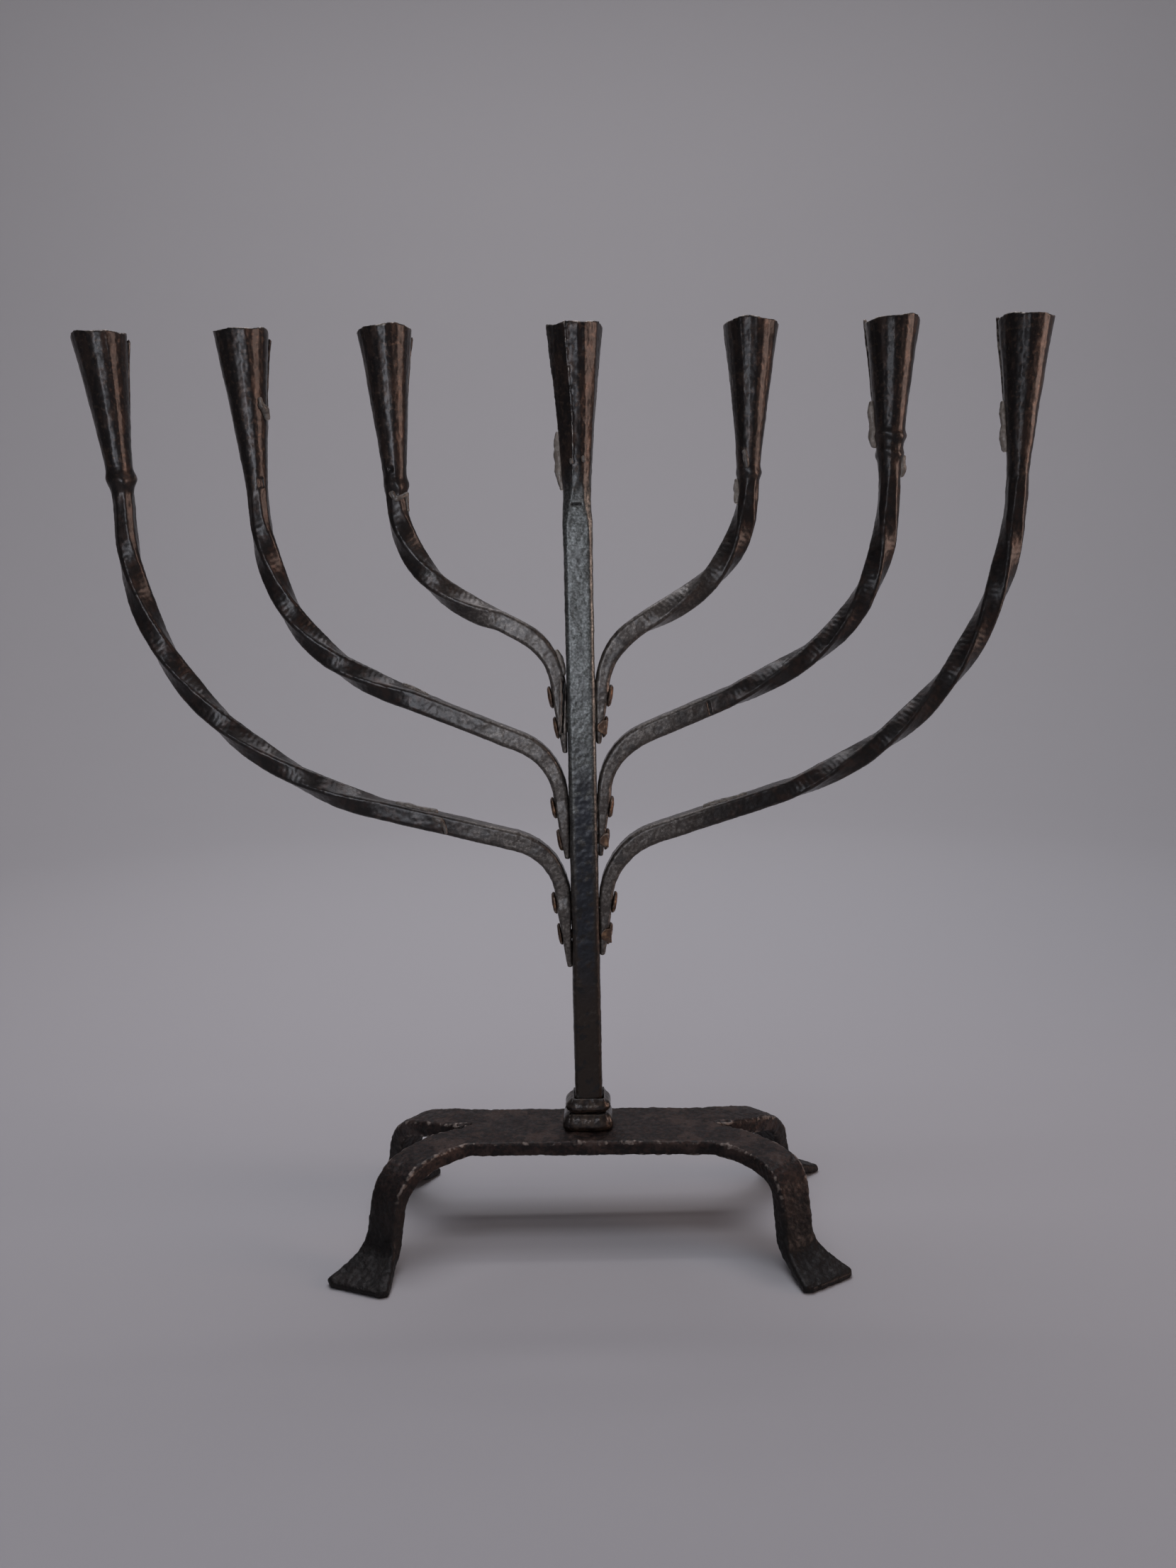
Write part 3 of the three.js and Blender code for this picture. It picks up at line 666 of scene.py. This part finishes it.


# %% [markdown]
# ## The base: brown patina
#
# The base was forged from flat bar and has rusted and been oiled many times over. Its skin is
# a brown-black patina, more matt than scale and grainy. Painted shade makes it darker towards
# the feet, and the ridges of its top are rubbed to bare metal and carry a painted highlight.

# %% The finish of the base


def brown_patina():
    """Base: old brown-black patina, matt, grainy, painted shade at the feet, bare with a painted
    highlight on top ridges.
    """
    material, tree, where, height, _, relief = iron_finish("brown_patina_iron")
    colour = layer(tree, "#1a110f", "#33241f", patches(tree, where, 2.5 * mm, 0.4, 0.66, 6.0))
    colour = layer(tree, colour, "#4a3a33", patches(tree, where, 18 * mm, 0.5, 0.64), amount=0.6)
    # painted shade: the base turns darker towards the feet, near the table
    colour = layer(tree, colour, "#0b0807", height, 0.062, 0.02, 0.85)
    colour = layer(tree, colour, "#151211", patches(tree, where, 4 * mm, 0.56, 0.64), amount=0.8)
    colour = layer(tree, colour, "#0e0b0a", relief, -0.2, -1.2)
    # the pale ridges lie only on the bar's top: partly rubbed bare metal, partly a painted
    # highlight along its edges
    wear_and_highlight = add_node(
        tree, "ShaderNodeMapRange",
        inputs={"Value": height, "From Min": 0.03, "From Max": 0.05,
                "To Max": patches(tree, where, 6 * mm, 0.32, 0.5)})
    colour = layer(tree, colour, "#837870", relief, 1.45, 2.1, wear_and_highlight.outputs[0])
    pitted_surface(tree, where, colour, 1.2 * mm, 0.5 * mm, 0.45, 0.7, 0.5, 0.1)
    return material


# %% [markdown]
# ## The collars: patina worn smooth
#
# The two rings at the stem's foot are where a hand takes hold. The same patina is there, but
# polished and a little greenish, so the rings mirror the light where the base does not. Their
# ridges carry a painted highlight.

# %% The finish of the collars


def handled_patina():
    """Collars: brown-green patina polished by hands, a painted highlight on the ridges, dark in
    the groove between the rings.
    """
    material, tree, where, _, _, relief = iron_finish("handled_patina_iron")
    colour = layer(tree, "#241c17", "#473a2f", patches(tree, where, 4 * mm, 0.4, 0.66, 6.0))
    colour = layer(tree, colour, "#0e0c0a", relief, -0.2, -1.4)
    # painted highlight: the pale colour on the rings' ridges
    wear_and_highlight = patches(tree, where, 3 * mm, 0.4, 0.58)
    colour = layer(tree, colour, "#8b8177", relief, 1.2, 2.4, wear_and_highlight)
    pitted_surface(tree, where, colour, 1.2 * mm, 0.2 * mm, 0.28, 0.45, 0.7, 0.7)
    return material


# %% [markdown]
# ## The rivets
#
# Rivets are soft iron, and their heads were closed with a hammer. They keep a thin brown oxide,
# with bare metal on the high spots of the head.

# %% The finish of the rivets


def rivet_iron():
    """Rivets: soft iron, hammered, with a thin brown oxide."""
    material, tree, where, _, _, relief = iron_finish("rivet_iron")
    colour = layer(tree, "#523f33", "#85684f", patches(tree, where, 4 * mm, 0.4, 0.68, 5.0))
    colour = layer(tree, colour, "#14100e", relief, -0.2, -1.0)
    wear_and_highlight = patches(tree, where, 3 * mm, 0.38, 0.56)
    colour = layer(tree, colour, "#85796f", relief, 0.5, 1.4, wear_and_highlight)
    pitted_surface(tree, where, colour, 0.9 * mm, 0.12 * mm, 0.38, 0.6, 0.8, 0.2)
    return material


# %% [markdown]
# Each finish is made once and shared by all the pieces that have it.

# %% Make the five finishes
scale_iron, stem_iron, patina_iron = forged_scale(), stem_scale(), brown_patina()
handled_iron, head_iron = handled_patina(), rivet_iron()
irons = (scale_iron, stem_iron, patina_iron, handled_iron, head_iron)
print("finishes:", [iron.name for iron in irons])

# %% [markdown]
# ## The six arms
#
# Every arm is one forging, from the leaf against the stem to the socket. It gets small hammer
# marks all over and flats on its socket.

# %% Rebuild the arms
arms = {}
for tier in ("low", "middle", "high"):
    for side in ("left", "right"):
        node = f"arm_{tier}_{side}"
        arm = rebuilt(node, 0.65 * mm, 2)
        facet_socket(arm, node, uneven_edges(seed=len(arms) + 3), strength=0.2)
        hammered(arm, 8 * mm, 0.25 * mm, 0.9 * mm, 0.26 * mm)
        arms[node] = arm
        print(node, "faces:", len(arm.data.polygons))

# %% [markdown]
# The single marks come after the hammering, as they did at the forge, and the relief is
# measured last, when the surface is final.

# %% Mark the arms and give them their finish
for node, height, thickness, lift in (
        ("arm_low_left", 460, 4.2, 2.3),
        ("arm_high_left", 454, 4, 1.8),
        ("arm_high_right", 458, 3, 1.2),
        ("arm_middle_right", 477, 2.6, 1.5),
        ("arm_middle_right", 467, 2.6, 1.3)):
    swell_neck(arms[node], node, height * mm, thickness * mm, lift * mm)

back, down = Vector((0, 1, 0)), Vector((0, 0, -1))
in_front = -60  # where a ray to the front of the iron starts
for node, x, z, width, height, depth, slant in (
        ("arm_middle_left", -183, 457, 2.6, 5.5, 0.9, 4),
        ("arm_high_left", -107.3, 463, 2.6, 2.6, 0.8, 0),
        ("arm_middle_right", 76.4, 321.3, 1.1, 8, 1.2, 12),
        ("arm_high_left", -11, 322, 1.5, 34, 1.6, -4),
        ("arm_low_left", -84, 252, 1.4, 9, 0.6, 8)):
    start = from_stem(x, in_front, z)
    press(arms[node], start, back, width * mm, height * mm, depth * mm, slant)
for node, arm in arms.items():
    mark_relief(arm)
    arm.data.materials.append(scale_iron)
print("arms marked and finished:", len(arms))

# %% [markdown]
# ## The stem
#
# The stem is the one bar that runs from the table to the middle socket, so it is rebuilt in
# one. The flats of its socket are listed one by one, because they are few and plain to see: a
# narrow one faces forward, with a wide dark one at its left and a bright one at its right.

# %% Rebuild the stem
stem = rebuilt("stem", 0.7 * mm, 4)
stem_flats = [-75, -14, 13, 24, 58, 95, 140, 190, 238]
facet_socket(stem, "stem", stem_flats, strength=0.65)
hammered(stem, 9 * mm, 0.3 * mm, 0.6 * mm, 0.35 * mm)
press(stem, from_stem(-0.5, in_front, 441), back, 6 * mm, 1.2 * mm, 1 * mm)
mark_relief(stem)
stem.data.materials.append(stem_iron)
print("stem faces:", len(stem.data.polygons))

# %% [markdown]
# ## The collars
#
# Two rings were forged from bar, heated, and closed round the stem's foot one on the other.
# The hammer has drawn their tops inwards and taken off their corners, so each is a soft
# cushion with a groove between them. Smoothing alone would shrink them, so they are rounded by
# moving only the points outside the hole.

# %% Rebuild the collars


def round_over(collar, top_inset, bottom_inset, corner):
    """Draws a ring's outside in towards its top and bottom, and at its four corners."""
    points = vertices_of(collar)
    low, high = points[:, 2].min(), points[:, 2].max()
    share = (points[:, 2] - low) / (high - low)
    # The higher the power, the nearer to its edge the rounding stays.
    inset = top_inset * share ** 2.2 + bottom_inset * (1 - share) ** 3
    off = points[:, :2] - np.array(stem_at)[:2]
    hole, wall = 9.5 * mm, 4 * mm
    outside = np.clip((np.abs(off).max(axis=1) - hole) / wall, 0, 1)
    at_corner = (np.abs(off).min(axis=1) / np.abs(off).max(axis=1)) ** 3
    inset = inset + corner * at_corner
    points[:, :2] -= off / np.linalg.norm(off, axis=1)[:, None] * (inset * outside)[:, None]
    move_vertices(collar, points)


for node, top_inset, bottom_inset, corner in (
        ("collar_lower", 2.6 * mm, 0.2 * mm, 1.4 * mm),
        ("collar_upper", 4.2 * mm, 1.4 * mm, 1.8 * mm)):
    collar = rebuilt(node, 0.5 * mm, 12)
    round_over(collar, top_inset, bottom_inset, corner)
    hammered(collar, 9 * mm, 0.4 * mm, 0.9 * mm, 0.3 * mm)
    mark_relief(collar)
    collar.data.materials.append(handled_iron)
    print(node, "faces:", len(collar.data.polygons))

# %% [markdown]
# ## The base
#
# The base is a flat bar, slit from both ends, with the halves drawn out and bent down to four
# feet. It was struck hardest, so its marks are the deepest of all. Where the slits end, the
# chisel has left short gashes in the top of the bar. The marks are wide, so the faces may be
# a little larger here than on the arms.

# %% Rebuild the base
base = rebuilt("base", 0.85 * mm, 3)
hammered(base, 10 * mm, 0.6 * mm, 1.3 * mm, 0.8 * mm)
above_base = 90  # where a ray down to the base starts
for x, y, length, width, depth, slant in (
        (-79, 2, 9, 1.6, 2.2, -4),
        (-88, -1, 6, 2.4, 1.6, 12),
        (84, 3, 10, 1.2, 1.4, 8),
        (92, -3, 7, 1, 1, -20)):
    start = from_stem(x, y, above_base)
    press(base, start, down, length * mm, width * mm, depth * mm, slant)
base_relief = mark_relief(base)
print("base relief, median to top:", np.quantile(base_relief, (0.5, 0.9, 0.95, 0.98)).round(2))
base.data.materials.append(patina_iron)
print("base faces:", len(base.data.polygons))

# %% [markdown]
# ## The rivets
#
# Six rivets go right through, two to each pair of arms. They are small, so they are rebuilt
# more finely than the bars, and their blows are smaller.

# %% Rebuild the rivets
for node in sorted(n for n in nodes if n.startswith("rivet")):
    rivet = rebuilt(node, 0.4 * mm, 5)
    hammered(rivet, 5 * mm, 0.35 * mm, 0.5 * mm, 0.2 * mm)
    mark_relief(rivet)
    rivet.data.materials.append(head_iron)
    print(node, "faces:", len(rivet.data.polygons))

# %% [markdown]
# ## Old wax
#
# Candle wax has run down some sockets and set in drops on the arms. It is milky, a little
# clear at its edges, and yellowed. Each run is a row of beads laid on the iron, joined by a
# voxel remesh and smoothed, as a drop of wax joins those before it.

# %% Make the wax


def old_wax():
    """Old candle wax: light goes a little way in, so the edges of a drop look clear."""
    material = bpy.data.materials.new("old_candle_wax")
    material.use_nodes = True
    tree = material.node_tree
    shader = tree.nodes["Principled BSDF"]
    where = add_node(tree, "ShaderNodeTexCoord").outputs["Object"]
    colour = layer(tree, "#8f867c", "#c0b8ae", patches(tree, where, 3 * mm, 0.35, 0.65))
    tree.links.new(colour, shader.inputs["Base Color"])
    shader.inputs["Roughness"].default_value = 0.3
    shader.inputs["IOR"].default_value = 1.44
    shader.inputs["Transmission Weight"].default_value = 0.75
    shader.inputs["Subsurface Weight"].default_value = 0.25
    shader.inputs["Subsurface Radius"].default_value = (2 * mm, 1.4 * mm, 1 * mm)
    return material


wax = old_wax()
print("wax:", wax.name)

# %% [markdown]
# A bead is set on the iron at the point nearest to where it is asked for, and a little proud
# of it. Between two given beads, more are added so closely that they overlap.

# %% The function that lays a run of wax


def wax_run(name, host, beads):
    """A run of wax on a piece. Each bead is x, y, z from the stem and a radius, millimetres."""
    drops = []
    proud = 0.35  # how far a bead stands out from the iron, as a share of its radius
    for start, end in zip(beads, beads[1:]):
        apart = math.dist(start[:3], end[:3])
        spacing = 0.5 * min(start[3], end[3])
        steps = math.ceil(apart / spacing)
        for i in range(steps + 1):
            x, y, z, radius = (a + (b - a) * i / steps for a, b in zip(start, end))
            _, place, normal, _ = host.closest_point_on_mesh(from_stem(x, y, z))
            bpy.ops.object.select_all(action="DESELECT")
            bpy.ops.mesh.primitive_ico_sphere_add(
                subdivisions=2, radius=radius * mm,
                location=place + normal * radius * proud * mm)
            drops.append(bpy.context.object)
    for drop in drops:
        drop.select_set(True)
    bpy.ops.object.join()
    run = bpy.context.object
    run.name = name
    bpy.ops.object.transform_apply(location=True, rotation=True, scale=True)
    apply_modifier(run, "REMESH", mode="VOXEL", voxel_size=0.35 * mm, use_smooth_shade=True)
    apply_modifier(run, "SMOOTH", factor=0.5, iterations=8)
    displaced(run, "CLOUDS", 3.5 * mm, 0.9 * mm)
    run.data.materials.append(wax)
    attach(run, "root")


# %% [markdown]
# The candles leaned and dripped at different sides, so each run is placed by itself: a long
# one down the left of the middle socket, and lobes beside the other sockets and their necks.

# %% Lay the wax on the sockets
wax_run("wax_middle_socket", stem, [
    (-9, 0, 482, 1.4), (-9.5, 0, 477, 2.3), (-9.5, 0, 471, 3), (-9, 0, 466, 2.5),
    (-9, 0, 461, 2.9), (-8.5, 0, 456, 2.2), (-8.5, 0, 451, 1.3)])
wax_run("wax_middle_drop_left", stem, [(-3, -9, 466, 1), (-2.5, -9, 464.5, 1.2)])
wax_run("wax_middle_drop_right", stem, [(4, -9, 467, 1.1), (4.5, -9, 465.5, 1.5)])
wax_run("wax_middle_left_socket", arms["arm_middle_left"], [
    (-179, -8, 503, 1.3), (-177, -8, 500, 1.8), (-174.5, -6, 497, 2.3), (-173, -4, 494, 1.9)])
wax_run("wax_high_left_neck", arms["arm_high_left"], [
    (-107, -7, 449, 1.8), (-105, -7, 446, 1.5), (-99, -3, 449, 1.4), (-98.5, -2, 444, 1),
    (-98, -2, 440, 0.9)])
wax_run("wax_high_right_neck", arms["arm_high_right"], [
    (98, -5, 469, 1.4), (98.5, -5, 465, 1.7), (99, -5, 461, 1.4)])
wax_run("wax_high_right_side", arms["arm_high_right"], [
    (91, 1, 453, 1.4), (89.5, 1, 448, 2.3), (90.5, 1, 442, 1.6)])
wax_run("wax_middle_right_socket", arms["arm_middle_right"], [
    (172, 2, 496, 1.6), (172, 2, 491, 2.5), (173, 2, 485, 2), (174.5, 2, 479, 2.6),
    (176, 2, 473, 2)])
wax_run("wax_middle_right_lump", arms["arm_middle_right"], [
    (192, 0, 464, 1.6), (191.5, 0, 459, 2.6), (190.5, 0, 455, 1.6)])
wax_run("wax_low_right_socket", arms["arm_low_right"], [
    (247, 2, 495, 1.4), (247.5, 2, 489, 2.2), (249, 2, 482, 1.8), (249.5, 2, 475, 2.7),
    (251, 2, 469, 2)])

# %% [markdown]
# Some drops fell past the sockets. They set on the upper faces of the arms below, and in the
# crook of the upper left one.

# %% Lay the wax on the arms
wax_run("wax_low_left_drops", arms["arm_low_left"], [
    (-112, -2, 266, 1.2), (-106, -3, 264, 1.6), (-99, -3, 262, 1.3), (-92, -2, 259, 1.5),
    (-86, -4, 257, 1.8), (-84, -7, 253, 1.2), (-83.5, -7, 249, 1)])
wax_run("wax_middle_left_arm", arms["arm_middle_left"], [
    (-104, 0, 342, 1), (-99, 0, 341, 1.5), (-95, 0, 340, 1.1), (-90, -1, 337, 0.9)])
wax_run("wax_low_right_drops", arms["arm_low_right"], [
    (72, -2, 268, 1.2), (80, -2, 271, 1.5), (88, -3, 273, 1.2), (96, -3, 275, 1)])
wax_run("wax_upper_crook", arms["arm_high_left"], [
    (-14, -2, 356, 1.6), (-12, -3, 352, 2), (-10.5, -4, 348, 1.7), (-10, -5, 343, 1.1)])
wax_run("wax_upper_leaf", arms["arm_high_left"], [
    (-12, -6, 340, 0.8), (-12, -7, 330, 1.1), (-12.5, -7, 318, 0.9), (-12, -7, 305, 0.8)])
